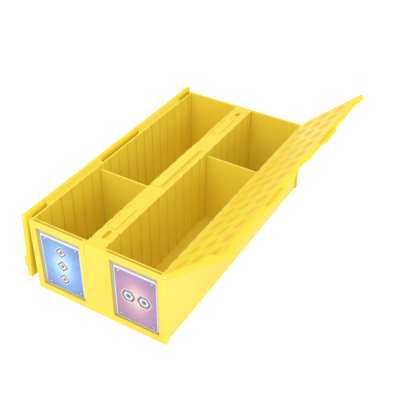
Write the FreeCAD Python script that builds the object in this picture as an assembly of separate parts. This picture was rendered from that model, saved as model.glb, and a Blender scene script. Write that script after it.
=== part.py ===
import FreeCAD, Part
import math
import os

# Storage bin for trading cards. Two lanes lie either side of a hollow centre rib, each with a hinged lid,
# a divider that lifts out, and a framed label in a clear holder at the front.
# Sizes are in millimetres. X runs along the front, Y from front to back, and Z up.
# The origin is on the table, under the middle of the box.

Vector = FreeCAD.Vector

# Box
box_width = 203.0               # across the front and rear panels
box_depth = 390.0
box_height = 116.0
front_thickness = 7.0
rear_thickness = 5.0
floor_thickness = 3.0
wall_thickness = 3.0
wall_inset = 2.5                # from a panel's side edge in to the side wall's outer face
wall_lap = 1.5                  # how far a side wall laps over the edge of the floor
socket_depth = 1.5              # how far the walls and the rib enter the end panels
socket_gap = 0.1                # clearance round an end in its socket
edge_chamfer = 0.6              # on the outer edges of panels, lids and dividers
tiny = 0.000001                 # shorter lengths count as nothing

# Grooves that hold the dividers
groove_pitch = 21.2
groove_width = 3.0
groove_depth = 1.2
groove_end_margin = 4.0         # least land between the last groove and an end panel

# Dividers
divider_thickness = 2.4
divider_gap = 0.3               # to the floor and to the bottom of each groove
divider_drop = 5.0              # from the box's rim down to the divider's top edge
left_divider_groove = 7         # which groove each divider stands in, counted from the front
right_divider_groove = 12

# Centre rib and its cap
rib_width = 27.0
rib_wall = 3.0
rib_web = 2.0
cap_thickness = 4.0
cap_tongue = 2.0                # how far the cap's tongue reaches down between the rib's walls
cap_tongue_gap = 0.2

# Raised rail along the middle of the cap, and the channel beside it
rail_width = 14.0
rail_length = 105.6
rail_height = 2.0               # above the cap
rail_seat = 1.0                 # how far the rail is let into the cap
rail_gap = 0.1                  # round the rail in its seat
rail_offset = -4.6              # from the middle of the cap to the rail's centre line
channel_width = 5.5
channel_depth = 2.0
channel_land = 0.5              # between the rail and the channel
corner_share = 0.4              # corner radius of the rail and the channel, as a share of their width

# Pockets in the cap, the pads that fill them, and the slots at the cap's two ends
pocket_width = 20.4
pocket_length = 60.0
pocket_from_end = 69.5          # from the box's end to a pocket's centre
pocket_depth = 0.8
pocket_corner = 5.0
pad_width = 12.0
pad_length = 47.0
pad_offset = -3.6               # from the middle of the cap to a pad's centre line
pad_from_end = 64.5             # from the box's end to a pad's centre
pad_thickness = 1.4
pad_well_depth = 1.7            # of the deeper well that a pad lies in
pad_well_margin = 3.0           # from a pad's edge to the edge of its well, on the side with room
pad_gap = 0.1
pad_split_width = 1.0
pad_split_depth = 0.6
end_slot_width = 6.0
end_slot_depth = 5.0
end_slot_share = 0.49           # corner radius of an end slot, as a share of its width
front_slot_length = 17.0
front_slot_from_end = 28.5
rear_slot_length = 12.0
rear_slot_from_end = 25.0
thumb_relief_width = 3.5
thumb_relief_depth = 1.0
thumb_relief_start = 63.0
thumb_relief_length = 33.0

# Lids and hinges
lid_thickness = 7.5
lid_gap = 0.3                   # between a closed lid and the box's rim
lid_centre_gap = 0.4            # from a closed lid's free edge to the middle of the box
lid_overhang = 3.0              # a lid's front end stands this far ahead of the front panel
lid_rear_gap = 0.3              # a lid's rear end stops this far short of the rear panel's back
hinge_offset = 3.6              # from a panel's side edge out to the hinge's axis
rod_radius = 1.5
rod_fit = 0.05                  # round the rod in the walls' knuckles
rod_play = 0.08                 # round the rod in the lids' knuckles
end_knuckle_length = 37.0
middle_knuckle_length = 88.8
knuckle_gap = 0.5
knuckle_relief = 8.6            # from the axis to where a lid is cut back beside a wall's knuckle
bracket_drop = 4.0              # how far a knuckle's bracket reaches down the wall
bracket_root = 1.0              # how far a knuckle's bracket is let into the wall

# Free edge of the lids
finger_depth = 7.0
finger_mouth = 36.0
finger_bottom = 29.0
rail_relief_gap = 0.6           # round the rail in the left lid's underside
edge_setback = 7.4              # the right lid's free edge lies back this far between its two ends
front_corner_length = 13.0      # of the end at the front, which keeps the full reach
rear_corner_length = 7.0
edge_slope = 7.0                # length of the slope beside each such end and beside each tab
tab_width = 48.0                # at its root
tab_distance = 78.0             # from the middle of the box to a tab's centre
tab_thickness = 3.75            # a tab takes the upper part of the lid's thickness
lip_start = 67.0                # from the axis to the catch lip
lip_length = 22.0
lip_ramp = 5.0                  # length of the slope at each end of the catch lip
lip_drop = 3.0
lip_root = 3.0                  # how far the catch lip reaches up over the lid's end
lip_gap = 0.4                   # between the catch lip and the front panel

# Dished dimples in the lids' undersides
dimple_radius = 10.5
dimple_depth = 1.8
dimple_pitch_along = 27.3
dimple_pitch_across = 28.3
dimple_start = 5.0              # from the axis to where the dimple rows begin
dimple_margin = 4.0             # least land at the lid's two ends
dimple_shift = -3.0             # from the middle of the lid to the middle of the dimples

# Angle in degrees by which each lid stands open
left_lid_angle = 265.8
right_lid_angle = 138.3

# Label cards, their clear holders, and the windows in the front panel
label_width = 63.0
label_height = 88.0
label_thickness = 0.4
label_gap = 0.15                # between a card and its holder's front sheet
holder_width = 76.2
holder_height = 101.6
holder_thickness = 1.8
holder_sheet = 0.45
holder_seam = 3.0               # welded margin at the holder's sides and bottom
holder_corner = 3.0
holder_seat = 8.0               # height of the holder's bottom edge
window_width = 68.7
window_margin = 10.2            # from a panel's side edge in to the window
window_sill = 11.0              # height of the window's lower edge
window_head = 9.0               # from the window's upper edge to the box's rim
window_skin = 2.7
slot_width = 77.4
slot_thickness = 2.3
slot_clearance = 0.3            # under the holder

# Places that follow from the sizes above
half_width = box_width / 2
half_depth = box_depth / 2
half_rib = rib_width / 2
wall_outer = half_width - wall_inset
wall_inner = wall_outer - wall_thickness
front_inner = -half_depth + front_thickness
rear_inner = half_depth - rear_thickness
axis_x = half_width + hinge_offset
axis_z = box_height + lid_gap + lid_thickness / 2
lid_front = -half_depth - lid_overhang
lid_rear = half_depth - lid_rear_gap
lid_reach = axis_x - lid_centre_gap
half_lid = lid_thickness / 2
half_middle = middle_knuckle_length / 2
rail_left = rail_offset - rail_width / 2
rail_right = rail_offset + rail_width / 2
window_centre = half_width - window_margin - window_width / 2
holder_front = -half_depth + window_skin + (slot_thickness - holder_thickness) / 2
wall_knuckles = [
    (lid_front + end_knuckle_length, -half_middle),
    (half_middle, lid_rear - end_knuckle_length),
]


def block(x0, x1, y0, y1, z0, z1):
    """A box between two corners."""
    return Part.makeBox(x1 - x0, y1 - y0, z1 - z0, Vector(x0, y0, z0))


def bar_along_y(radius, x, z, y0, y1):
    """A round bar that runs along Y."""
    return Part.makeCylinder(radius, y1 - y0, Vector(x, y0, z), Vector(0, 1, 0))


def prism(points, direction):
    """A flat outline pushed along a direction."""
    outline = Part.makePolygon(points + points[:1])
    return Part.Face(outline).extrude(direction)


def other_side(shape):
    """The same shape on the other side of the box."""
    return shape.mirror(Vector(0, 0, 0), Vector(1, 0, 0))


def edges_along(shape, axis, test=lambda middle: True):
    """The straight edges that run along an axis (0, 1 or 2) and whose middle passes a test."""
    found = []
    for edge in shape.Edges:
        start = edge.Vertexes[0].Point
        end = edge.Vertexes[-1].Point
        span = [abs(end[i] - start[i]) for i in range(3)]
        straight = span[axis] > 0 and sum(span) - span[axis] < tiny
        if straight and test((start + end) * 0.5):
            found.append(edge)
    return found


def chamfered(shape, axes, size=edge_chamfer, test=lambda middle: True):
    """A shape with its straight edges along the given axes chamfered."""
    edges = []
    for axis in axes:
        edges += edges_along(shape, axis, test)
    return shape.makeChamfer(size, edges)


def rounded_block(x0, x1, y0, y1, z0, z1, radius):
    """A box with its four upright edges rounded."""
    shape = block(x0, x1, y0, y1, z0, z1)
    return shape.makeFillet(radius, edges_along(shape, 2))


def save(shape, node):
    """Write one piece."""
    shape.exportStep("parts/" + node + ".step")


def groove_places():
    """Y of each divider groove, half a pitch either side of the middle and outwards."""
    room = min(-front_inner, rear_inner) - groove_end_margin - groove_width / 2
    count = int((room - groove_pitch / 2) / groove_pitch) + 1
    steps = [step + 0.5 for step in range(-count, count)]
    return [step * groove_pitch for step in steps]


def cut_grooves(shape, face_x, depth):
    """Cut the divider grooves into an upright face at face_x; depth is signed along X."""
    x0 = min(face_x, face_x + depth)
    x1 = max(face_x, face_x + depth)
    half = groove_width / 2
    for y in groove_places():
        shape = shape.cut(block(x0, x1, y - half, y + half, floor_thickness, box_height))
    return shape


def make_floor():
    """The floor plate, whose long edges lie under the side walls."""
    edge = wall_inner + wall_lap
    return block(-edge, edge, front_inner, rear_inner, 0, floor_thickness)


def tangent_angle(px, pz, turn):
    """Angle at which a line from a point, seen from the hinge's axis, touches the barrel."""
    distance = math.hypot(px, pz)
    return math.atan2(pz, px) + turn * math.acos(half_lid / distance)


def make_wall_knuckle(y0, y1):
    """A barrel outboard of the right side wall, on a bracket that runs down to the wall."""
    root_x = wall_outer - bracket_root - axis_x
    low = (wall_outer - axis_x, box_height - bracket_drop - axis_z)
    high = (root_x, box_height - axis_z)
    low_angle = tangent_angle(low[0], low[1], 1)
    high_angle = tangent_angle(high[0], high[1], -1)
    outline = [
        (half_lid * math.cos(low_angle), half_lid * math.sin(low_angle)),
        low,
        (root_x, low[1]),
        high,
        (half_lid * math.cos(high_angle), half_lid * math.sin(high_angle)),
    ]
    points = [Vector(axis_x + x, y0, axis_z + z) for x, z in outline]
    bracket = prism(points, Vector(0, y1 - y0, 0))
    return bracket.fuse(bar_along_y(half_lid, axis_x, axis_z, y0, y1))


def make_right_wall():
    """The right side wall with its divider grooves and hinge knuckles."""
    front = front_inner - socket_depth
    rear = rear_inner + socket_depth
    wall = block(wall_inner, wall_outer, front, rear, 0, box_height)
    wall = wall.cut(block(wall_inner, wall_inner + wall_lap, front, rear, 0, floor_thickness))
    wall = cut_grooves(wall, wall_inner, groove_depth)
    for y0, y1 in wall_knuckles:
        wall = wall.fuse(make_wall_knuckle(y0 + knuckle_gap / 2, y1 - knuckle_gap / 2))
    bore = bar_along_y(rod_radius + rod_fit, axis_x, axis_z, lid_front, lid_rear)
    return wall.cut(bore).removeSplitter()


def make_rib():
    """The hollow centre rib: two grooved walls on a web, open at the top for the cap."""
    front = front_inner - socket_depth
    rear = rear_inner + socket_depth
    inner = half_rib - rib_wall
    top = box_height - cap_thickness
    rib = block(-half_rib, half_rib, front, rear, floor_thickness, top)
    rib = rib.cut(block(-inner, inner, front, rear, floor_thickness + rib_web, top))
    rib = cut_grooves(rib, half_rib, -groove_depth)
    return cut_grooves(rib, -half_rib, groove_depth)


def pocket_tools(side):
    """What is cut from the cap at one end: a shallow pocket, and the well that the pad lies in."""
    top = box_height
    centre = side * (half_depth - pocket_from_end)
    half = pocket_length / 2
    half_pocket = pocket_width / 2
    shallow = rounded_block(-half_pocket, half_pocket, centre - half, centre + half,
                            top - pocket_depth, top, pocket_corner)
    x0, x1, y0, y1 = pad_plan(side)
    inboard = pad_well_margin + pad_gap
    x1 = x1 + inboard
    y0 = y0 - (inboard if side > 0 else pad_gap)
    y1 = y1 + (inboard if side < 0 else pad_gap)
    well = block(x0 - pad_gap, x1, y0, y1, top - pad_well_depth, top)
    corner = edges_along(well, 2, lambda middle: middle.x > x1 - pad_gap and side * (middle.y - centre) < 0)
    return shallow.fuse(well.makeFillet(pad_well_margin, corner))


def pad_plan(side):
    """X and Y limits of the pad at one end of the cap."""
    centre = side * (half_depth - pad_from_end)
    x0 = pad_offset - pad_width / 2
    return x0, x0 + pad_width, centre - pad_length / 2, centre + pad_length / 2


def make_pad(side):
    """A pad in two fields, with a shallow groove across its middle."""
    x0, x1, y0, y1 = pad_plan(side)
    bottom = box_height - pad_well_depth
    top = bottom + pad_thickness
    pad = block(x0, x1, y0, y1, bottom, top)
    middle = (y0 + y1) / 2
    half = pad_split_width / 2
    return pad.cut(block(x0, x1, middle - half, middle + half, top - pad_split_depth, top))


def end_slot(y, length):
    """A shallow slot with round ends in the cap's middle line."""
    half = end_slot_width / 2
    return rounded_block(-half, half, y - length / 2, y + length / 2, box_height - end_slot_depth,
                         box_height, end_slot_width * end_slot_share)


def make_cap():
    """The rib's cap, with the rail's seat, the channel beside it, two pockets and two slots."""
    front = front_inner - socket_depth
    rear = rear_inner + socket_depth
    top = box_height
    half_tongue = half_rib - rib_wall - cap_tongue_gap
    cap = block(-half_rib, half_rib, front, rear, top - cap_thickness, top)
    tongue = block(-half_tongue, half_tongue, front_inner, rear_inner,
                   top - cap_thickness - cap_tongue, top - cap_thickness)
    cap = cap.fuse(tongue).removeSplitter()
    cap = cut_grooves(cap, half_rib, -groove_depth)
    cap = cut_grooves(cap, -half_rib, groove_depth)
    half_rail = rail_length / 2
    seat = rounded_block(rail_left - rail_gap, rail_right + rail_gap, -half_rail - rail_gap,
                         half_rail + rail_gap, top - rail_seat, top, rail_width * corner_share)
    channel_x = rail_right + rail_gap + channel_land
    channel = rounded_block(channel_x, channel_x + channel_width, -half_rail, half_rail,
                            top - channel_depth, top, channel_width * corner_share)
    relief = block(-half_rib, -half_rib + thumb_relief_width, thumb_relief_start,
                   thumb_relief_start + thumb_relief_length, top - thumb_relief_depth, top)
    tools = [seat, channel, relief, pocket_tools(-1), pocket_tools(1)]
    tools.append(end_slot(front_slot_from_end - half_depth, front_slot_length))
    tools.append(end_slot(half_depth - rear_slot_from_end, rear_slot_length))
    for tool in tools:
        cap = cap.cut(tool)
    return cap


def make_rail():
    """The raised rail, with rounded ends and a softened top edge."""
    half_rail = rail_length / 2
    bottom = box_height - rail_seat
    top = box_height + rail_height
    rail = rounded_block(rail_left, rail_right, -half_rail, half_rail, bottom, top,
                         rail_width * corner_share)
    rim = [edge for edge in rail.Edges if edge.BoundBox.ZMin > top - tiny]
    return rail.makeChamfer(edge_chamfer, rim)


def cut_sockets(panel, inner_y, depth):
    """Cut the sockets for both side walls and the rib into a panel's inner face."""
    y0 = min(inner_y, inner_y + depth)
    y1 = max(inner_y, inner_y + depth)
    spans = [
        (wall_inner - socket_gap, wall_outer + socket_gap, 0),
        (-wall_outer - socket_gap, -wall_inner + socket_gap, 0),
        (-half_rib - socket_gap, half_rib + socket_gap, floor_thickness - socket_gap),
    ]
    for x0, x1, z0 in spans:
        panel = panel.cut(block(x0, x1, y0, y1, z0, box_height))
    return panel


def make_front_panel():
    """The front panel, with two windows and a slot behind each for a card holder."""
    panel = block(-half_width, half_width, -half_depth, front_inner, 0, box_height)
    panel = chamfered(panel, (0, 2), test=lambda middle: middle.y < -half_depth + tiny)
    slot_y = -half_depth + window_skin
    for side in (-1, 1):
        centre = side * window_centre
        half_window = window_width / 2
        half_slot = slot_width / 2
        window = block(centre - half_window, centre + half_window, -half_depth, slot_y,
                       window_sill, box_height - window_head)
        slot = block(centre - half_slot, centre + half_slot, slot_y, slot_y + slot_thickness,
                     holder_seat - slot_clearance, box_height)
        panel = panel.cut(window).cut(slot)
    return cut_sockets(panel, front_inner, -socket_depth)


def make_rear_panel():
    """The rear panel."""
    panel = block(-half_width, half_width, rear_inner, half_depth, 0, box_height)
    panel = chamfered(panel, (0, 2), test=lambda middle: middle.y > half_depth - tiny)
    return cut_sockets(panel, rear_inner, socket_depth)


def free_edge(setback):
    """Corners of a lid's free edge, front to rear, round the finger notch; its two ends aren't set back."""
    edge = lid_reach - setback
    front = lid_front + front_corner_length
    rear = lid_rear - rear_corner_length
    mouth = finger_mouth / 2
    bottom = finger_bottom / 2
    notch = [(edge, -mouth), (edge - finger_depth, -bottom), (edge - finger_depth, bottom), (edge, mouth)]
    if setback > 0:
        notch = [(lid_reach, front), (edge, front + edge_slope)] + notch
        notch += [(edge, rear - edge_slope), (lid_reach, rear)]
    return [(lid_reach, lid_front)] + notch + [(lid_reach, lid_rear)]


def catch_lip():
    """The lip that hangs down ahead of the front panel, with sloping ends."""
    low = -half_lid - lip_drop
    high = -half_lid + lip_root
    lip_end = lip_start + lip_length
    outline = [(lip_start, high), (lip_start, -half_lid), (lip_start + lip_ramp, low)]
    outline += [(lip_end - lip_ramp, low), (lip_end, -half_lid), (lip_end, high)]
    points = [Vector(x, lid_front, z) for x, z in outline]
    return prism(points, Vector(0, lid_overhang - lip_gap, 0))


def make_lid(setback):
    """A lid lying closed, with its hinge axis on the Y axis and its free edge towards +X."""
    outline = [(0, lid_front)] + free_edge(setback) + [(0, lid_rear)]
    points = [Vector(x, y, -half_lid) for x, y in outline]
    lid = prism(points, Vector(0, 0, lid_thickness))
    rim = lambda middle: middle.x > tiny and abs(middle.z) > half_lid - tiny
    lid = chamfered(lid, (0, 1), test=rim)
    lid = lid.fuse(bar_along_y(half_lid, 0, 0, lid_front, lid_rear)).fuse(catch_lip())
    for y0, y1 in wall_knuckles:
        lid = lid.cut(block(-lid_thickness, knuckle_relief, y0 - knuckle_gap / 2, y1 + knuckle_gap / 2,
                            -lid_thickness, lid_thickness))
    lid = lid.cut(bar_along_y(rod_radius + rod_play, 0, 0, lid_front, lid_rear))
    return lid.cut(make_dimples())


def make_dimples():
    """Dished dimples in even rows over a lid's underside, each the cap of a sphere."""
    length = lid_rear - lid_front
    columns = int((length - 2 * dimple_margin) / dimple_pitch_along)
    rows = int((lid_reach - finger_depth - dimple_start) / dimple_pitch_across)
    first_y = (lid_front + lid_rear) / 2 + dimple_shift - (columns - 1) / 2 * dimple_pitch_along
    sphere = (dimple_radius ** 2 + dimple_depth ** 2) / (2 * dimple_depth)
    flat = sphere - dimple_depth
    latitude = math.degrees(math.asin(flat / sphere))
    dimples = []
    for row in range(rows):
        x = dimple_start + (row + 0.5) * dimple_pitch_across
        for column in range(columns):
            centre = Vector(x, first_y + column * dimple_pitch_along, -half_lid - flat)
            dimples.append(Part.makeSphere(sphere, centre, Vector(0, 0, 1), latitude, 90, 360))
    return Part.makeCompound(dimples)


def open_lid(lid, angle):
    """A lid turned open about its hinge and carried to the left hinge."""
    lid.rotate(Vector(0, 0, 0), Vector(0, -1, 0), angle)
    lid.translate(Vector(-axis_x, 0, axis_z))
    return lid


def make_tab(centre):
    """A tab on the upper part of a set-back free edge, with sloping ends."""
    edge = lid_reach - edge_setback
    root = edge - 2 * edge_chamfer
    half = tab_width / 2
    outline = [(root, -half), (edge, -half), (lid_reach, edge_slope - half)]
    outline += [(lid_reach, half - edge_slope), (edge, half), (root, half)]
    points = [Vector(x, centre + y, half_lid - tab_thickness) for x, y in outline]
    tab = prism(points, Vector(0, 0, tab_thickness))
    return chamfered(tab, (1,), test=lambda middle: middle.x > lid_reach - tiny)


def make_left_lid():
    """The left lid, cut away over the rail."""
    lid = make_lid(0)
    half_relief = rail_length / 2 + rail_relief_gap
    relief = block(axis_x + rail_left - rail_relief_gap, lid_reach, -half_relief, half_relief,
                   -half_lid, -half_lid + rail_height)
    return open_lid(lid.cut(relief).removeSplitter(), left_lid_angle)


def make_right_lid():
    """The right lid, with two tabs on its free edge."""
    lid = make_lid(edge_setback)
    for side in (-1, 1):
        lid = lid.fuse(make_tab(side * tab_distance))
    return other_side(open_lid(lid.removeSplitter(), right_lid_angle))


def make_left_rod():
    """The left hinge rod, from end to end of the lid."""
    return bar_along_y(rod_radius, -axis_x, axis_z, lid_front, lid_rear)


def make_divider(side, groove):
    """A divider across one lane, with its edges in a facing pair of grooves."""
    outer = wall_inner + groove_depth - divider_gap
    inner = half_rib - groove_depth + divider_gap
    y = groove_places()[groove - 1]
    half = divider_thickness / 2
    divider = block(inner, outer, y - half, y + half, floor_thickness + divider_gap,
                    box_height - divider_drop)
    corners = lambda middle: middle.z > box_height - divider_drop - tiny
    divider = chamfered(divider, (0, 1), test=corners)
    return divider if side > 0 else other_side(divider)


def make_left_holder():
    """A clear rigid holder: two sheets welded along three edges, open at the top."""
    half = holder_width / 2
    holder = block(-window_centre - half, -window_centre + half, holder_front,
                   holder_front + holder_thickness, holder_seat, holder_seat + holder_height)
    holder = holder.makeFillet(holder_corner, edges_along(holder, 1))
    room = half - holder_seam
    pocket = block(-window_centre - room, -window_centre + room, holder_front + holder_sheet,
                   holder_front + holder_thickness - holder_sheet, holder_seat + holder_seam,
                   holder_seat + holder_height)
    return holder.cut(pocket)


def make_left_label():
    """The label card, standing on the bottom seam of its holder behind the front sheet."""
    y0 = holder_front + holder_sheet + label_gap
    half = label_width / 2
    z0 = holder_seat + holder_seam
    return block(-window_centre - half, -window_centre + half, y0, y0 + label_thickness,
                 z0, z0 + label_height)


def main():
    """Make every piece and write it."""
    os.makedirs("parts", exist_ok=True)
    right_wall = make_right_wall()
    left_rod = make_left_rod()
    left_holder = make_left_holder()
    left_label = make_left_label()
    pieces = {
        "floor_plate": make_floor(),
        "left_side_wall": other_side(right_wall),
        "right_side_wall": right_wall,
        "centre_rib": make_rib(),
        "rib_cap": make_cap(),
        "centre_rail": make_rail(),
        "front_rib_pad": make_pad(-1),
        "rear_rib_pad": make_pad(1),
        "front_panel": make_front_panel(),
        "rear_panel": make_rear_panel(),
        "left_lid": make_left_lid(),
        "right_lid": make_right_lid(),
        "left_hinge_rod": left_rod,
        "right_hinge_rod": other_side(left_rod),
        "left_divider": make_divider(-1, left_divider_groove),
        "right_divider": make_divider(1, right_divider_groove),
        "left_card_holder": left_holder,
        "right_card_holder": other_side(left_holder),
        "left_label_card": left_label,
        "right_label_card": other_side(left_label),
    }
    for node, shape in pieces.items():
        save(shape, node)
        print(node, "solids", len(shape.Solids), "valid", shape.isValid(), "volume", round(shape.Volume))


main()
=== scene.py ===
import logging
import math
from contextlib import contextmanager
from dataclasses import dataclass, replace
from enum import Enum, IntEnum
from typing import Callable, Iterator

import bmesh
import bpy
from mathutils import Matrix, Vector


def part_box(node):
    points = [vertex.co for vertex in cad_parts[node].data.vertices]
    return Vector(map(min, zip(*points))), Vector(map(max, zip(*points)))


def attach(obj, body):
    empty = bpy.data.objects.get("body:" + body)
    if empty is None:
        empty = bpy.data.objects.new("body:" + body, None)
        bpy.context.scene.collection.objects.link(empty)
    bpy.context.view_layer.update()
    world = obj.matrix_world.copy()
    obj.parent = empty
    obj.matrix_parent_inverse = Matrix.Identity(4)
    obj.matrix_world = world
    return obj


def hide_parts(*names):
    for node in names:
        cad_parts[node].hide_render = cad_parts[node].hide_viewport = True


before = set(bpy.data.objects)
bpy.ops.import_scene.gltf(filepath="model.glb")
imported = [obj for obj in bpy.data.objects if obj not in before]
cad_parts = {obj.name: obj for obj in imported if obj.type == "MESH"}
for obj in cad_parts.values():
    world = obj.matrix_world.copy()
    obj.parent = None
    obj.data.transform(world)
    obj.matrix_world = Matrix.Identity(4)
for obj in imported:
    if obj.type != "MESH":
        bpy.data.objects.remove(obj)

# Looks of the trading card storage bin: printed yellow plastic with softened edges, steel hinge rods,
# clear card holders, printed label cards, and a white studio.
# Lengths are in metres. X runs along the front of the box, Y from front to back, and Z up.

Colour = tuple[float, float, float, float]
Place = tuple[float, float, float]
Span = tuple[float, float]
Socket = bpy.types.NodeSocket
Value = Socket | float | Colour | Place
FaceTest = Callable[[bmesh.types.BMFace], bool]

MM = 0.001
HINGE_X = 105.1 * MM
HINGE_Z = 120.05 * MM
LEFT_LID_TURN = math.radians(-265.8)
RIGHT_LID_TURN = math.radians(138.3)
SEAM_X = -14.2 * MM
THIN_EDGE = 0.12 * MM
ROUNDING_FACES = 2
MERGE_DISTANCE = 0.001 * MM
FLAT_ANGLE = math.radians(0.5)
SMOOTH_ANGLE = math.radians(35)
# Least cosine between a face's normal and the direction that the face is said to look in.
FACING = 0.99
# A Mix node's colour sockets share their names with its others, so they are taken by number.
MIX_FIRST, MIX_SECOND, MIX_RESULT = 6, 7, 2
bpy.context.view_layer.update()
log = logging.getLogger("card_bin")


class Slot(Enum):
    """Material slots of the record."""

    YELLOW = "yellow_plastic"
    STEEL = "rod_steel"
    CLEAR = "clear_plastic"
    BLUE = "blue_card"
    VIOLET = "violet_card"


class Body(Enum):
    """Bodies that pieces ride on."""

    BIN = "bin"
    LEFT_LID = "left_lid_body"
    RIGHT_LID = "right_lid_body"
    LEFT_DIVIDER = "left_divider_body"
    RIGHT_DIVIDER = "right_divider_body"
    LEFT_LABEL = "left_label_body"
    RIGHT_LABEL = "right_label_body"


def srgb(red: int, green: int, blue: int) -> Colour:
    """Turn a colour written as 0 to 255 into linear light, by the sRGB curve.

    Args:
        red: Red share of the written colour.
        green: Green share.
        blue: Blue share.

    Returns:
        The colour in linear light, with full alpha.
    """
    def channel(value: int) -> float:
        """One channel in linear light."""
        share = value / 255
        return share / 12.92 if share <= 0.04045 else ((share + 0.055) / 1.055) ** 2.4

    return (channel(red), channel(green), channel(blue), 1.0)


@dataclass(frozen=True)
class Noise:
    """Even noise in a finish: blotches per metre, and octaves of finer noise in them."""

    per_metre: float
    octaves: float


@dataclass(frozen=True)
class Relief:
    """Fine relief of a finish: the real depth of a height of 1, and the share of it that shows."""

    depth: float
    share: float


class ShaderGraph:
    """A material's or a world's node tree, built step by step."""

    def __init__(self, owner: bpy.types.Material | bpy.types.World) -> None:
        """Start an empty tree.

        Args:
            owner: The material or world that gets the tree.
        """
        owner.use_nodes = True
        self.tree = owner.node_tree
        self.tree.nodes.clear()

    def add(self, kind: str, inputs: dict[str | int, Value] | None = None, **settings: object) -> bpy.types.Node:
        """Add a node, set its properties and feed its sockets.

        Args:
            kind: Node type without its ShaderNode prefix.
            inputs: What goes into each socket, by the socket's name or number: another socket is linked,
                and a plain value becomes the socket's own.
            settings: Properties to set on the node.

        Returns:
            The new node.
        """
        node = self.tree.nodes.new("ShaderNode" + kind)
        for name, value in settings.items():
            setattr(node, name, value)
        for key, value in (inputs or {}).items():
            if isinstance(value, Socket):
                self.tree.links.new(value, node.inputs[key])
            else:
                node.inputs[key].default_value = value
        return node

    def math(self, operation: str, *values: Value) -> Socket:
        """Add a Math node.

        Args:
            operation: Name of the operation.
            values: What it works on, each a socket or a number.

        Returns:
            The node's result.
        """
        return self.add("Math", dict(enumerate(values)), operation=operation).outputs[0]

    def noise(self, place: Socket, noise: Noise) -> Socket:
        """Add even noise.

        Args:
            place: Coordinates to read it at.
            noise: How fine it is.

        Returns:
            The noise's value.
        """
        node = self.add("TexNoise", {"Vector": place, "Scale": noise.per_metre, "Detail": noise.octaves})
        return node.outputs["Fac"]

    def spread(self, value: Socket, low: float, high: float, start: float = 0.3, end: float = 0.7) -> Socket:
        """Map a value's middle range to another range, and hold it there.

        Args:
            value: The value to map.
            low: Result at start and below.
            high: Result at end and above.
            start: Lower end of the input range. As it is, with end, it takes in most of a noise.
            end: Upper end of the input range.

        Returns:
            The mapped value.
        """
        node = self.add("MapRange", {"Value": value, "From Min": start, "From Max": end,
                                     "To Min": low, "To Max": high})
        return node.outputs["Result"]

    def blend(self, share: Socket, first: Value, second: Value) -> Socket:
        """Mix two colours.

        Args:
            share: How much of the second colour shows.
            first: A socket or a colour.
            second: A socket or a colour.

        Returns:
            The mixed colour.
        """
        node = self.add("Mix", {"Factor": share, MIX_FIRST: first, MIX_SECOND: second}, data_type="RGBA")
        return node.outputs[MIX_RESULT]

    def choose(self, share: Socket, first: Socket, second: Socket) -> Socket:
        """Mix two shaders.

        Args:
            share: How much of the second shader shows.
            first: A shader.
            second: A shader.

        Returns:
            The mixed shader.
        """
        return self.add("MixShader", {0: share, 1: first, 2: second}).outputs[0]

    def object_place(self, centre: Place = (0, 0, 0), turn: float = 0.0) -> Socket:
        """Read the piece's own coordinates.

        Args:
            centre: Point that becomes the pattern's origin.
            turn: Angle in radians about Y that lays the pattern along a tilted piece.

        Returns:
            The coordinates.
        """
        source = self.add("TexCoord").outputs["Object"]
        shifted = self.add("VectorMath", {0: source, 1: centre}, operation="SUBTRACT").outputs[0]
        return self.add("Mapping", {"Vector": shifted, "Rotation": (0, turn, 0)}).outputs[0]

    def split(self, vector: Socket) -> list[Socket]:
        """The X, Y and Z of a vector."""
        return list(self.add("SeparateXYZ", {0: vector}).outputs)

    def bump(self, height: Socket, relief: Relief) -> Socket:
        """Turn a height into a bumped normal.

        Args:
            height: Height from 0 to 1.
            relief: How deep it is and shows.

        Returns:
            The normal.
        """
        node = self.add("Bump", {"Height": height, "Distance": relief.depth, "Strength": relief.share})
        return node.outputs[0]

    def principled(self, inputs: dict[str | int, Value]) -> Socket:
        """Add the shader that most finishes are made with.

        Args:
            inputs: What goes into each socket, by the socket's name.

        Returns:
            The shader.
        """
        return self.add("BsdfPrincipled", inputs).outputs[0]

    def finish(self, surface: Socket, output: str = "OutputMaterial") -> None:
        """Give the surface to the tree's output.

        Args:
            surface: The shader.
            output: Type of the output node.
        """
        self.add(output, {"Surface": surface})


def new_material(name: str) -> tuple[bpy.types.Material, ShaderGraph]:
    """Add a material.

    Args:
        name: Name of the material.

    Returns:
        The material and its empty tree.
    """
    material = bpy.data.materials.new(name)
    return material, ShaderGraph(material)


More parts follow.
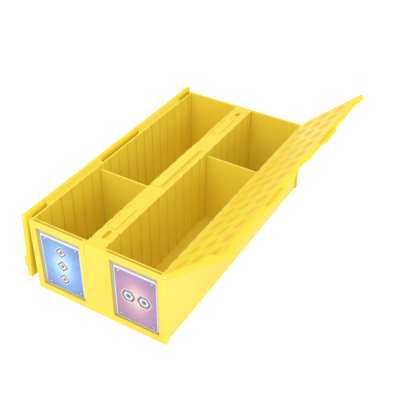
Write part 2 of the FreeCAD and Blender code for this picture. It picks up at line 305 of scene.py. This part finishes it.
@dataclass(frozen=True)
class PrintedPlastic:
    """Yellow plastic laid down in fine layers, a little deeper in tone here and there.

    A darker dimple colour, where given, is painted shade down in a lid's dimples. It comes in over a range of
    depths, which is measured through the lid from its hinge axis. Where a seam place is given, a faint upright
    line of painted shade, for the step at the seam, stands there and comes in upwards over a range of heights.
    """

    colour: Colour = srgb(251, 229, 72)
    deep: Colour = srgb(249, 222, 60)
    # Lighter yellow of the rounded edges: a painted highlight.
    edge: Colour = srgb(254, 234, 98)
    layer: float = 0.2 * MM
    bead: float = 0.42 * MM
    bead_share: float = 0.5
    groove: Relief = Relief(0.02 * MM, 0.3)
    blotches: Noise = Noise(14, 3)
    grain: Noise = Noise(900, 2)
    highlight_blotches: Noise = Noise(60, 4)
    roughness: Span = (0.38, 0.46)
    edge_roughness: float = 0.3
    ior: float = 1.48
    sheen: float = 0.65
    dimple_shade: Colour | None = None
    dimple_shade_range: Span = (-3.7 * MM, -2.4 * MM)
    seam_x: float | None = None
    # Darker line at the front panel's seam: painted shade of the step there.
    seam_shade: Colour = srgb(240, 204, 20)
    seam_shade_width: float = 3.0 * MM
    seam_shade_range: Span = (33 * MM, 100 * MM)

    def paint_seam_shade(self, graph: ShaderGraph, tone: Socket, x: Socket, z: Socket) -> Socket:
        """Paint the upright line of shade at the seam's step into a tone.

        Args:
            graph: Tree to build in.
            tone: The tone without it.
            x: Place across the piece.
            z: Place up the piece.

        Returns:
            The tone with it.
        """
        beside = graph.math("ABSOLUTE", graph.math("SUBTRACT", x, self.seam_x))
        line = graph.spread(beside, 1, 0, 0, self.seam_shade_width / 2)
        share = graph.math("MULTIPLY", line, graph.spread(z, 0, 1, *self.seam_shade_range))
        return graph.blend(share, tone, self.seam_shade)

    def make(self, name: str, turn: float = 0.0, centre: Place = (0, 0, 0)) -> bpy.types.Material:
        """Build the plastic of flat and upright faces.

        Args:
            name: Name of the material.
            turn: Angle in radians about Y that lays the layers along a piece tilted after printing.
            centre: Point that the piece was tilted about.

        Returns:
            The material.
        """
        material, graph = new_material(name)
        place = graph.object_place(centre, turn)
        x, y, z = graph.split(place)
        layers = graph.math("SINE", graph.math("MULTIPLY", z, 2 * math.pi / self.layer))
        beads = graph.math("SINE", graph.math("MULTIPLY", graph.math("ADD", x, y), 2 * math.pi / self.bead))
        height = graph.math("ADD", layers, graph.math("MULTIPLY", beads, self.bead_share))
        tone = graph.blend(graph.spread(graph.noise(place, self.blotches), 0, 1), self.colour, self.deep)
        # Painted shade in the dimples, fuller the deeper into the dimple.
        if self.dimple_shade is not None:
            tone = graph.blend(graph.spread(z, 0, 1, *self.dimple_shade_range), tone, self.dimple_shade)
        # Painted shade line along the seam's step, fuller towards the top.
        if self.seam_x is not None:
            tone = self.paint_seam_shade(graph, tone, x, z)
        graph.finish(graph.principled({
            "Base Color": tone,
            "Roughness": graph.spread(graph.noise(place, self.grain), *self.roughness),
            "Normal": graph.bump(height, self.groove),
            "IOR": self.ior,
            "Specular IOR Level": self.sheen,
        }))
        return material

    def make_edge(self, name: str) -> bpy.types.Material:
        """Build the rounded edges' plastic, which handling has smoothed, in a lighter yellow that is a painted
        highlight, laid on in blotches.

        Args:
            name: Name of the material.

        Returns:
            The material.
        """
        material, graph = new_material(name)
        # Blotches of painted highlight along the rounded edges.
        highlight_share = graph.spread(graph.noise(graph.object_place(), self.highlight_blotches), 0, 1)
        graph.finish(graph.principled({
            "Base Color": graph.blend(highlight_share, self.colour, self.edge),
            "Roughness": self.edge_roughness,
            "IOR": self.ior,
            "Specular IOR Level": self.sheen,
        }))
        return material


@dataclass(frozen=True)
class DrawnSteel:
    """Bright steel rod with fine lines along it."""

    colour: Colour = srgb(226, 226, 222)
    roughness: Span = (0.22, 0.36)
    lines: Noise = Noise(5000, 3)
    stretch: Place = (1, 0.02, 1)
    scoring: Relief = Relief(0.01 * MM, 0.3)

    def make(self, name: str) -> bpy.types.Material:
        """Build the material.

        Args:
            name: Name of the material.

        Returns:
            The material.
        """
        material, graph = new_material(name)
        drawn = graph.add("Mapping", {"Vector": graph.object_place(), "Scale": self.stretch}).outputs[0]
        lines = graph.noise(drawn, self.lines)
        graph.finish(graph.principled({
            "Base Color": self.colour,
            "Metallic": 1.0,
            "Roughness": graph.spread(lines, *self.roughness),
            "Normal": graph.bump(lines, self.scoring),
        }))
        return material


@dataclass(frozen=True)
class ClearSheet:
    """Clear rigid plastic that lets the lamps through to the card behind it, frosted along its weld."""

    tint: Colour = srgb(250, 252, 255)
    # Cream of the frosted weld: partly its own colour, partly painted yellow light bounced from the box.
    weld_tint_and_bounce: Colour = srgb(252, 249, 234)
    roughness: float = 0.04
    weld_roughness: float = 0.35
    weld_clear: float = 0.5
    weld_fade: float = 0.4 * MM
    ior: float = 1.46
    scratches: Noise = Noise(700, 4)
    scoring: Relief = Relief(0.01 * MM, 0.15)

    def make(self, name: str, centre: Place, half_room: float) -> bpy.types.Material:
        """Build the material.

        Args:
            name: Name of the material.
            centre: Middle of the holder.
            half_room: Half the width between the welds.

        Returns:
            The material.
        """
        material, graph = new_material(name)
        across = graph.math("ABSOLUTE", graph.split(graph.object_place(centre))[0])
        weld = (half_room, half_room + self.weld_fade)
        scratches = graph.noise(graph.object_place(), self.scratches)
        # Towards the weld the sheet turns cream, partly painted bounce light from the box.
        sheet = graph.principled({
            "Base Color": graph.blend(graph.spread(across, 0, 1, *weld), self.tint, self.weld_tint_and_bounce),
            "Roughness": graph.spread(across, self.roughness, self.weld_roughness, *weld),
            "Transmission Weight": graph.spread(across, 1, self.weld_clear, *weld),
            "Normal": graph.bump(scratches, self.scoring),
            "IOR": self.ior,
        })
        shadow = graph.add("LightPath").outputs["Is Shadow Ray"]
        graph.finish(graph.choose(shadow, sheet, graph.add("BsdfTransparent").outputs[0]))
        return material


class Motif(Enum):
    """What is printed in the middle of a label card."""

    DIAMONDS = "a column of nested diamonds"
    HEXAGONS = "a pair of nested hexagons"


@dataclass(frozen=True)
class PrintedCard:
    """Coated card: a pale border round a coloured ground that glows towards its middle, and a plain motif.

    Its reaches are shares of the way from the card's middle to its edges: how far the full glow goes, where
    the ground is pure, and where the rim's colour is full. A small mark stands in each corner.
    """

    motif: Motif
    rim: Colour
    ground: Colour
    glow: Colour
    ink: Colour
    paper: Colour = srgb(236, 236, 240)
    size: Span = (63 * MM, 88 * MM)
    side_border: float = 1.8 * MM
    top_border: float = 4.2 * MM
    bottom_border: float = 2.6 * MM
    sharp: float = 0.25 * MM
    reaches: tuple[float, float, float] = (0.15, 0.62, 1.25)
    cloud: Noise = Noise(90, 3)
    cloud_share: float = 0.08
    motif_pitch: float = 23 * MM
    diamonds: int = 3
    rings: tuple[float, float, float, float] = (10.5 * MM, 9.0 * MM, 6.2 * MM, 3.2 * MM)
    mark_inset: float = 7 * MM
    mark_reach: float = 1.6 * MM
    roughness: float = 0.3
    grain: Noise = Noise(2500, 2)
    coating: Relief = Relief(0.01 * MM, 0.3)
    lattice_pitch: float = 3 * MM
    lattice_edge: float = 0.1
    stock: tuple[Colour, Colour] = (srgb(214, 212, 206), srgb(240, 239, 235))
    stock_fibres: Noise = Noise(4000, 2)
    stock_roughness: float = 0.7

    def half_size(self) -> Span:
        """Half the card's width and height."""
        return (self.size[0] / 2, self.size[1] / 2)

    def inside(self, graph: ShaderGraph, distance: Socket, limit: float) -> Socket:
        """Where a distance is below a limit, with a soft printed edge.

        Args:
            graph: Tree to build in.
            distance: The distance in metres.
            limit: The limit in metres.

        Returns:
            1 inside and 0 outside.
        """
        return graph.spread(distance, 1, 0, limit - self.sharp / 2, limit + self.sharp / 2)

    def distance(self, graph: ShaderGraph, x: Socket, z: Socket) -> Socket:
        """Distance from the nearest middle of the motif, measured in the motif's own outline.

        Args:
            graph: Tree to build in.
            x: Place across the card.
            z: Place up the card.

        Returns:
            The distance in metres.
        """
        up = graph.math("ABSOLUTE", z)
        if self.motif is Motif.DIAMONDS:
            middle = graph.math("SNAP", graph.math("ADD", z, self.motif_pitch / 2), self.motif_pitch)
            nearest = graph.math("ABSOLUTE", graph.math("SUBTRACT", z, middle))
            beyond_last = graph.math("GREATER_THAN", up, self.motif_pitch * self.diamonds / 2)
            shape = graph.math("ADD", graph.math("ABSOLUTE", x), nearest)
            return graph.math("ADD", shape, beyond_last)
        across = graph.math("ABSOLUTE", graph.math("SUBTRACT", graph.math("ABSOLUTE", x), self.motif_pitch / 2))
        slope = graph.math("ADD", graph.math("MULTIPLY", across, math.cos(math.pi / 6)),
                           graph.math("MULTIPLY", up, math.sin(math.pi / 6)))
        return graph.math("MAXIMUM", slope, up)

    def make_ground(self, graph: ShaderGraph, place: Socket, out_x: Socket, out_z: Socket) -> Socket:
        """Print the ground: a cloudy glow in the middle, and a darker rim.

        Args:
            graph: Tree to build in.
            place: Place from the card's middle.
            out_x: Distance across from the middle.
            out_z: Distance up or down from the middle.

        Returns:
            The ground's colour.
        """
        squares = []
        for out, half in zip((out_x, out_z), self.half_size()):
            share = graph.math("DIVIDE", out, half)
            squares.append(graph.math("MULTIPLY", share, share))
        radius = graph.math("SQRT", graph.math("ADD", *squares))
        cloud = graph.spread(graph.noise(place, self.cloud), -self.cloud_share, self.cloud_share)
        radius = graph.math("ADD", radius, cloud)
        glowing, pure, full = self.reaches
        colour = graph.blend(graph.spread(radius, 1, 0, glowing, pure), self.ground, self.glow)
        return graph.blend(graph.spread(radius, 0, 1, pure, full), colour, self.rim)

    def make(self, name: str, centre: Place) -> bpy.types.Material:
        """Build the printed face.

        Args:
            name: Name of the material.
            centre: Middle of the card.

        Returns:
            The material.
        """
        material, graph = new_material(name)
        half_x, half_z = self.half_size()
        place = graph.object_place(centre)
        x, _, z = graph.split(place)
        out_x = graph.math("ABSOLUTE", x)
        out_z = graph.math("ABSOLUTE", z)
        colour = self.make_ground(graph, place, out_x, out_z)
        shape = self.distance(graph, x, z)
        for limit, tone in zip(self.rings, (self.glow, self.ink, self.paper, self.ink)):
            colour = graph.blend(self.inside(graph, shape, limit), colour, tone)
        from_mark = [graph.math("ABSOLUTE", graph.math("SUBTRACT", out, half - self.mark_inset))
                     for out, half in ((out_x, half_x), (out_z, half_z))]
        mark = self.inside(graph, graph.math("ADD", *from_mark), self.mark_reach)
        colour = graph.blend(mark, colour, self.paper)
        side = graph.math("ADD", out_x, self.side_border - half_x)
        top = graph.math("ADD", z, self.top_border - half_z)
        bottom = graph.math("SUBTRACT", self.bottom_border - half_z, z)
        past_ground = graph.math("MAXIMUM", side, graph.math("MAXIMUM", top, bottom))
        graph.finish(graph.principled({
            "Base Color": graph.blend(self.inside(graph, past_ground, 0), self.paper, colour),
            "Roughness": self.roughness,
            "Normal": graph.bump(graph.noise(place, self.grain), self.coating),
        }))
        return material

    def make_back(self, name: str, centre: Place) -> bpy.types.Material:
        """Build the back: a fine lattice in the face's colours.

        Args:
            name: Name of the material.
            centre: Middle of the card.

        Returns:
            The material.
        """
        material, graph = new_material(name)
        x, _, z = graph.split(graph.object_place(centre))
        waves = [graph.math("SINE", graph.math("MULTIPLY", graph.math(kind, x, z), math.pi / self.lattice_pitch))
                 for kind in ("ADD", "SUBTRACT")]
        lattice = graph.spread(graph.math("MULTIPLY", *waves), 0, 1, -self.lattice_edge, self.lattice_edge)
        graph.finish(graph.principled({
            "Base Color": graph.blend(lattice, self.rim, self.ground),
            "Roughness": self.roughness,
        }))
        return material

    def make_stock(self, name: str) -> bpy.types.Material:
        """Build the white cut edge, with its fibres.

        Args:
            name: Name of the material.

        Returns:
            The material.
        """
        material, graph = new_material(name)
        fibres = graph.noise(graph.object_place(), self.stock_fibres)
        graph.finish(graph.principled({
            "Base Color": graph.blend(fibres, *self.stock),
            "Roughness": self.stock_roughness,
        }))
        return material


@dataclass(frozen=True)
class StudioWhite:
    """White paper floor and white surround, seen white but lighting the object softly."""

    paper: Colour = srgb(232, 232, 230)
    paper_fibre: Colour = srgb(236, 236, 234)
    fibres: Noise = Noise(350, 3)
    light: Colour = (1, 1, 1, 1)
    ambient: float = 0.92
    gloss: float = 0.45
    shown: float = 0.62

    def outside_rays(self, graph: ShaderGraph) -> Socket:
        """Rays that see the floor itself: from the camera, off gloss, or through glass.

        Args:
            graph: Tree to build in.

        Returns:
            1 for such a ray and 0 for others.
        """
        rays = graph.add("LightPath")
        gloss = graph.math("MAXIMUM", rays.outputs["Is Camera Ray"], rays.outputs["Is Glossy Ray"])
        return graph.math("MAXIMUM", gloss, rays.outputs["Is Transmission Ray"])

    def make_floor(self, name: str) -> bpy.types.Material:
        """Build the floor's paper.

        Args:
            name: Name of the material.

        Returns:
            The material.
        """
        material, graph = new_material(name)
        fibres = graph.spread(graph.noise(graph.object_place(), self.fibres), 0, 1)
        colour = graph.blend(fibres, self.paper, self.paper_fibre)
        paper = graph.add("BsdfDiffuse", {"Color": colour}).outputs[0]
        glow = graph.add("Emission", {"Strength": self.shown}).outputs[0]
        both = graph.add("AddShader", {0: paper, 1: glow}).outputs[0]
        graph.finish(graph.choose(self.outside_rays(graph), paper, both))
        return material

    def make_world(self, name: str) -> bpy.types.World:
        """Build the surround.

        Args:
            name: Name of the world.

        Returns:
            The world.
        """
        world = bpy.data.worlds.new(name)
        graph = ShaderGraph(world)
        rays = graph.add("LightPath")
        strength = graph.spread(rays.outputs["Is Glossy Ray"], self.ambient, self.gloss, 0, 1)
        lighting = graph.add("Background", {"Color": self.light, "Strength": strength}).outputs[0]
        white = graph.add("Background", {"Color": self.light}).outputs[0]
        seen = graph.math("MAXIMUM", rays.outputs["Is Camera Ray"], rays.outputs["Is Transmission Ray"])
        graph.finish(graph.choose(seen, lighting, white), "OutputWorld")
        return world


def take_up(obj: bpy.types.Object) -> None:
    """Make one object the only selected and active one.

    Args:
        obj: The object.
    """
    bpy.ops.object.select_all(action="DESELECT")
    obj.select_set(True)
    bpy.context.view_layer.objects.active = obj


@contextmanager
def editing(obj: bpy.types.Object) -> Iterator[bpy.types.Mesh]:
    """Work on an object's mesh in edit mode, with nothing selected at the start.

    Args:
        obj: Object to edit.

    Yields:
        Its mesh.
    """
    take_up(obj)
    bpy.ops.object.mode_set(mode="EDIT")
    bpy.ops.mesh.select_all(action="DESELECT")
    yield obj.data
    bpy.ops.object.mode_set(mode="OBJECT")


def pick_faces(mesh: bpy.types.Mesh, test: FaceTest) -> None:
    """Select the faces that pass a test, in edit mode.

    Args:
        mesh: Mesh being edited.
        test: Returns whether a face is wanted.
    """
    faces = bmesh.from_edit_mesh(mesh)
    faces.normal_update()
    for face in faces.faces:
        if test(face):
            face.select_set(True)
    faces.select_flush(True)
    bmesh.update_edit_mesh(mesh)


def middle_of(low: Place, high: Place) -> Place:
    """The middle of a box, from two opposite corners."""
    return tuple((a + b) / 2 for a, b in zip(low, high))


def copy_of(node: str, name: str, whole_faces: bool = True) -> bpy.types.Object:
    """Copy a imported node's mesh, with its loose triangles joined.

    Args:
        node: Name of the node.
        name: Name of the copy.
        whole_faces: Whether triangles that lie in one plane become one face.

    Returns:
        The copy.
    """
    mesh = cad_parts[node].data.copy()
    mesh.name = name
    mesh.materials.clear()
    obj = bpy.data.objects.new(name, mesh)
    bpy.context.scene.collection.objects.link(obj)
    take_up(obj)
    bpy.ops.mesh.customdata_custom_splitnormals_clear()
    with editing(obj):
        bpy.ops.mesh.select_all(action="SELECT")
        bpy.ops.mesh.remove_doubles(threshold=MERGE_DISTANCE)
        if whole_faces:
            bpy.ops.mesh.dissolve_limited(angle_limit=FLAT_ANGLE)
    return obj


def soften(obj: bpy.types.Object, width: float, least_angle: float = 30.0) -> None:
    """Round an object's sharp edges and smooth its shading.

    Args:
        obj: Object to soften. The rounding takes the last of its materials.
        width: Width of the rounding.
        least_angle: Least angle in degrees between two faces whose edge is rounded.
    """
    take_up(obj)
    bevel = obj.modifiers.new("rounded_edges", "BEVEL")
    bevel.width = width
    bevel.segments = ROUNDING_FACES
    bevel.limit_method = "ANGLE"
    bevel.angle_limit = math.radians(least_angle)
    bevel.use_clamp_overlap = False
    bevel.material = len(obj.data.materials) - 1
    bpy.ops.object.modifier_apply(modifier=bevel.name)
    bpy.ops.object.shade_smooth_by_angle(angle=SMOOTH_ANGLE)
    flats = obj.modifiers.new("flat_faces", "WEIGHTED_NORMAL")
    flats.keep_sharp = True
    bpy.ops.object.modifier_apply(modifier=flats.name)


def settle(obj: bpy.types.Object, body: Body, slot: Slot, *nodes: str) -> None:
    """Hang a finished piece on its body, in place of the nodes it stands for.

    Args:
        obj: The finished piece.
        body: Body that it moves with.
        slot: Not used; the material slot of the record that the piece belongs to.
        nodes: Nodes that it replaces.
    """
    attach(obj, body.value)
    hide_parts(*nodes)
    log.info("%s: %d faces, rides on %s", obj.name, len(obj.data.polygons), body.value)


@dataclass
class PlasticPieces:
    """Printed yellow pieces of one body: the same shapes as packed, with softened edges."""

    body: Body
    nodes: dict[str, str]
    plastic: bpy.types.Material
    edge_plastic: bpy.types.Material
    edge_width: float = 0.25 * MM
    least_angle: float = 30.0
    whole_faces: bool = True

    def build(self) -> list[bpy.types.Object]:
        """Build and dress each piece.

        Returns:
            The pieces.
        """
        pieces = []
        for node, name in self.nodes.items():
            obj = copy_of(node, name, self.whole_faces)
            obj.data.materials.append(self.plastic)
            obj.data.materials.append(self.edge_plastic)
            soften(obj, self.edge_width, self.least_angle)
            settle(obj, self.body, Slot.YELLOW, node)
            pieces.append(obj)
        return pieces


@dataclass
class DishedLid(PlasticPieces):
    """A lid, whose dimples get a darker tone of painted shade.

    Its faces stay triangles, because one face round all the dimples would cover some of them. A face is a
    dimple's when it lies deeper in the underside than skin and less deep than deepest, further from the hinge
    axis than barrel, and looks nearly straight out.
    """

    least_angle: float = 75.0
    whole_faces: bool = False
    dimple_shade_plastic: bpy.types.Material | None = None
    axis: Place = (0, 0, 0)
    turn: float = 0.0
    half_thickness: float = 3.75 * MM
    skin: float = 0.03 * MM
    deepest: float = 1.9 * MM
    barrel: float = 6.0 * MM
    least_facing: float = 0.9

    def in_dimple(self, face: bpy.types.MeshPolygon, outward: Vector) -> bool:
        """Tell whether a face is a dimple's.

        Args:
            face: The face.
            outward: Direction that the lid's underside looks in.

        Returns:
            Whether it is.
        """
        arm = face.center - Vector(self.axis)
        return (self.skin < self.half_thickness - arm.dot(outward) < self.deepest
                and math.hypot(arm.x, arm.z) > self.barrel
                and face.normal.dot(outward) > self.least_facing)

    def build(self) -> list[bpy.types.Object]:
        """Build the lid and give its dimples their painted shade.

        Returns:
            The lid.
        """
        pieces = super().build()
        outward = Matrix.Rotation(self.turn, 3, "Y") @ Vector((0, 0, -1))
        for obj in pieces:
            # The dimples' faces take the plastic with painted shade.
            obj.data.materials.append(self.dimple_shade_plastic)
            for face in obj.data.polygons:
                if self.in_dimple(face, outward):
                    face.material_index = len(obj.data.materials) - 1
        return pieces


@dataclass
class HingeRod:
    """A drawn steel rod through a lid's knuckles, with turned-down ends."""

    body: Body
    node: str
    name: str
    steel: bpy.types.Material
    chamfer: float = 0.25 * MM
    rim: float = 0.35 * MM
    dish: float = 0.12 * MM
    sides: int = 48

    def build(self) -> bpy.types.Object:
        """Build the rod where its node lies.

        Returns:
            The rod.
        """
        low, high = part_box(self.node)
        bpy.ops.object.select_all(action="DESELECT")
        bpy.ops.mesh.primitive_cylinder_add(vertices=self.sides, radius=(high[2] - low[2]) / 2,
                                            depth=high[1] - low[1], location=middle_of(low, high),
                                            rotation=(math.pi / 2, 0, 0))
        rod = bpy.context.object
        rod.name = self.name
        bpy.ops.object.transform_apply(location=True, rotation=True, scale=True)
        rod.data.materials.append(self.steel)
        with editing(rod) as mesh:
            bpy.ops.mesh.select_mode(type="FACE")
            pick_faces(mesh, lambda face: abs(face.normal.y) > FACING)
            bpy.ops.mesh.bevel(offset=self.chamfer, segments=ROUNDING_FACES, affect="EDGES")
            bpy.ops.mesh.select_all(action="DESELECT")
            pick_faces(mesh, lambda face: abs(face.normal.y) > FACING)
            bpy.ops.mesh.inset(thickness=self.rim, depth=-self.dish)
        bpy.ops.object.shade_smooth_by_angle(angle=SMOOTH_ANGLE)
        settle(rod, self.body, Slot.STEEL, self.node)
        return rod


@dataclass
class CardHolder:
    """A clear rigid holder: two welded sheets with eased edges."""

    body: Body
    node: str
    name: str
    seam: float = 5.6 * MM
    edge_width: float = 0.1 * MM
    sheet: ClearSheet = ClearSheet()

    def build(self) -> bpy.types.Object:
        """Build the holder where its node lies.

        Returns:
            The holder.
        """
        low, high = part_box(self.node)
        half_room = (high[0] - low[0]) / 2 - self.seam
        holder = copy_of(self.node, self.name)
        holder.data.materials.append(self.sheet.make(self.name + "_sheet", middle_of(low, high), half_room))
        soften(holder, self.edge_width)
        settle(holder, self.body, Slot.CLEAR, self.node)
        return holder


class CardSide(IntEnum):
    """A label card's faces, in the order of their materials."""

    STOCK = 0
    FACE = 1
    BACK = 2


@dataclass
class LabelCard:
    """A printed card with rounded corners, in its holder."""

    body: Body
    node: str
    name: str
    slot: Slot
    print_finish: PrintedCard
    corner: float = 3.0 * MM
    corner_faces: int = 8

    def side_of(self, face: bpy.types.MeshPolygon) -> CardSide:
        """Tell which side of the card a face belongs to.

        Args:
            face: The face.

        Returns:
            The side.
        """
        if abs(face.normal.y) < FACING:
            return CardSide.STOCK
        return CardSide.FACE if face.normal.y < 0 else CardSide.BACK

    def build(self) -> bpy.types.Object:
        """Build the card where its node lies.

        Returns:
            The card.
        """
        low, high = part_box(self.node)
        centre = middle_of(low, high)
        bpy.ops.object.select_all(action="DESELECT")
        bpy.ops.mesh.primitive_plane_add(size=1, location=(centre[0], low[1], centre[2]),
                                         rotation=(math.pi / 2, 0, 0))
        card = bpy.context.object
        card.name = self.name
        card.scale = (high[0] - low[0], high[2] - low[2], 1)
        bpy.ops.object.transform_apply(location=True, rotation=True, scale=True)
        for material in (self.print_finish.make_stock(self.name + "_stock"),
                         self.print_finish.make(self.name + "_face", centre),
                         self.print_finish.make_back(self.name + "_back", centre)):
            card.data.materials.append(material)
        with editing(card):
            bpy.ops.mesh.select_all(action="SELECT")
            bpy.ops.mesh.bevel(offset=self.corner, segments=self.corner_faces, affect="VERTICES")
            bpy.ops.mesh.select_all(action="SELECT")
            bpy.ops.mesh.extrude_region_move(TRANSFORM_OT_translate={"value": (0, high[1] - low[1], 0)})
            bpy.ops.mesh.select_all(action="SELECT")
            bpy.ops.mesh.normals_make_consistent(inside=False)
        for face in card.data.polygons:
            face.material_index = self.side_of(face)
        settle(card, self.body, self.slot, self.node)
        return card


@dataclass
class PhotoCamera:
    """The camera, where the photograph was taken from: angles in radians, lens and sensor in millimetres."""

    place: Place = (0.42807, -0.67416, 0.66917)
    yaw: float = -0.515
    pitch: float = 0.663
    roll: float = 0.020
    lens: float = 60.6
    sensor: float = 36.0
    clip_end: float = 50.0

    def build(self) -> bpy.types.Object:
        """Add the camera and make it the scene's.

        Returns:
            The camera.
        """
        bpy.ops.object.camera_add(location=self.place)
        camera = bpy.context.object
        camera.data.lens = self.lens
        camera.data.sensor_width = self.sensor
        camera.data.clip_end = self.clip_end
        turn = Matrix.Rotation(-self.yaw, 4, "Z") @ Matrix.Rotation(math.pi / 2 - self.pitch, 4, "X")
        turn = turn @ Matrix.Rotation(self.roll, 4, "Z")
        camera.matrix_world = Matrix.Translation(self.place) @ turn
        bpy.context.scene.camera = camera
        return camera


@dataclass(frozen=True)
class SoftLamp:
    """A square area lamp."""

    name: str
    place: Place
    size: float
    power: float

    def build(self, aim: Place) -> bpy.types.Object:
        """Add the lamp.

        Args:
            aim: Point that it shines at.

        Returns:
            The lamp.
        """
        bpy.ops.object.light_add(type="AREA", location=self.place)
        lamp = bpy.context.object
        lamp.name = self.name
        lamp.data.size = self.size
        lamp.data.energy = self.power
        lamp.rotation_euler = (Vector(aim) - Vector(self.place)).to_track_quat("-Z", "Y").to_euler()
        return lamp


@dataclass
class Studio:
    """Floor, surround and soft lamps."""

    white: StudioWhite = StudioWhite()
    floor_size: float = 14.0
    aim: Place = (0, 0, 0.05)
    lamps: tuple[SoftLamp, ...] = (
        SoftLamp("front_lamp", (-0.2, -1.9, 1.4), 1.6, 10.0),
        SoftLamp("top_lamp", (-0.5, 0.1, 2.2), 1.8, 3.0),
        SoftLamp("side_lamp", (2.0, -0.3, 0.6), 1.4, 7.5),
    )

    def build(self) -> None:
        """Add the floor, the surround and the lamps."""
        bpy.context.scene.world = self.white.make_world("white_surround")
        bpy.ops.object.select_all(action="DESELECT")
        bpy.ops.mesh.primitive_plane_add(size=self.floor_size, location=(0, 0, 0))
        floor = bpy.context.object
        floor.name = "paper_floor"
        floor.data.materials.append(self.white.make_floor("white_paper"))
        for lamp in self.lamps:
            lamp.build(self.aim)


def main() -> None:
    """Build every piece, the studio and the camera."""
    logging.basicConfig(level=logging.INFO, format="%(name)s: %(message)s")
    bpy.context.scene.view_settings.view_transform = "Standard"
    PhotoCamera().build()
    Studio().build()

    yellow = PrintedPlastic()
    flat = yellow.make("yellow_plastic_upright")
    # Rounded edges' plastic, with a painted highlight in a lighter yellow.
    edge = yellow.make_edge("yellow_plastic_edges")
    glossy = replace(yellow, sheen=1.0).make("yellow_plastic_glossy")
    # Front panel's plastic, with a painted shade line at its seam.
    seam_shaded = replace(yellow, seam_x=SEAM_X).make("yellow_plastic_seamed")
    thick = {
        "centre_rib": "rib_channel",
        "centre_rail": "rail_bar",
        "front_rib_pad": "front_pad",
        "rear_rib_pad": "rear_pad",
        "rear_panel": "rear_end",
    }
    thin = {"floor_plate": "base_plate", "left_side_wall": "left_wall", "rib_cap": "rib_top"}
    PlasticPieces(Body.BIN, thick, flat, edge).build()
    PlasticPieces(Body.BIN, {"front_panel": "front_end"}, seam_shaded, edge).build()
    PlasticPieces(Body.BIN, thin, flat, edge, THIN_EDGE).build()
    PlasticPieces(Body.BIN, {"right_side_wall": "right_wall"}, glossy, edge, THIN_EDGE).build()

    # The lids' plastic is the box's, but given a deeper yellow: painted shade for the lids' darker, more
    # saturated look in this light.
    lid_shaded_yellow = replace(yellow, colour=srgb(252, 227, 60), deep=srgb(250, 219, 50), sheen=0.3)
    # Lid plastic with painted shade deepening down in the dimples.
    dimple_shade = replace(lid_shaded_yellow, dimple_shade=srgb(246, 202, 30))
    for node, body, hinge_x, turn in (("left_lid", Body.LEFT_LID, -HINGE_X, LEFT_LID_TURN),
                                      ("right_lid", Body.RIGHT_LID, HINGE_X, RIGHT_LID_TURN)):
        axis = (hinge_x, 0, HINGE_Z)
        DishedLid(body, {node: node + "_panel"}, lid_shaded_yellow.make(node + "_plastic", -turn, axis), edge,
                  dimple_shade_plastic=dimple_shade.make(node + "_dimples", -turn, axis), axis=axis, turn=turn).build()

    PlasticPieces(Body.LEFT_DIVIDER, {"left_divider": "left_divider_plate"}, flat, edge).build()
    PlasticPieces(Body.RIGHT_DIVIDER, {"right_divider": "right_divider_plate"}, flat, edge).build()

    steel = DrawnSteel().make("drawn_steel")
    HingeRod(Body.BIN, "left_hinge_rod", "left_rod", steel).build()
    HingeRod(Body.BIN, "right_hinge_rod", "right_rod", steel).build()

    CardHolder(Body.LEFT_LABEL, "left_card_holder", "left_holder").build()
    CardHolder(Body.RIGHT_LABEL, "right_card_holder", "right_holder").build()
    blue = PrintedCard(Motif.DIAMONDS, rim=srgb(60, 84, 194), ground=srgb(92, 179, 242),
                       glow=srgb(222, 242, 253), ink=srgb(40, 46, 62))
    violet = PrintedCard(Motif.HEXAGONS, rim=srgb(132, 84, 164), ground=srgb(200, 128, 174),
                         glow=srgb(250, 220, 212), ink=srgb(52, 44, 58))
    LabelCard(Body.LEFT_LABEL, "left_label_card", "left_card", Slot.BLUE, blue).build()
    LabelCard(Body.RIGHT_LABEL, "right_label_card", "right_card", Slot.VIOLET, violet).build()


if __name__ == "__main__":
    main()
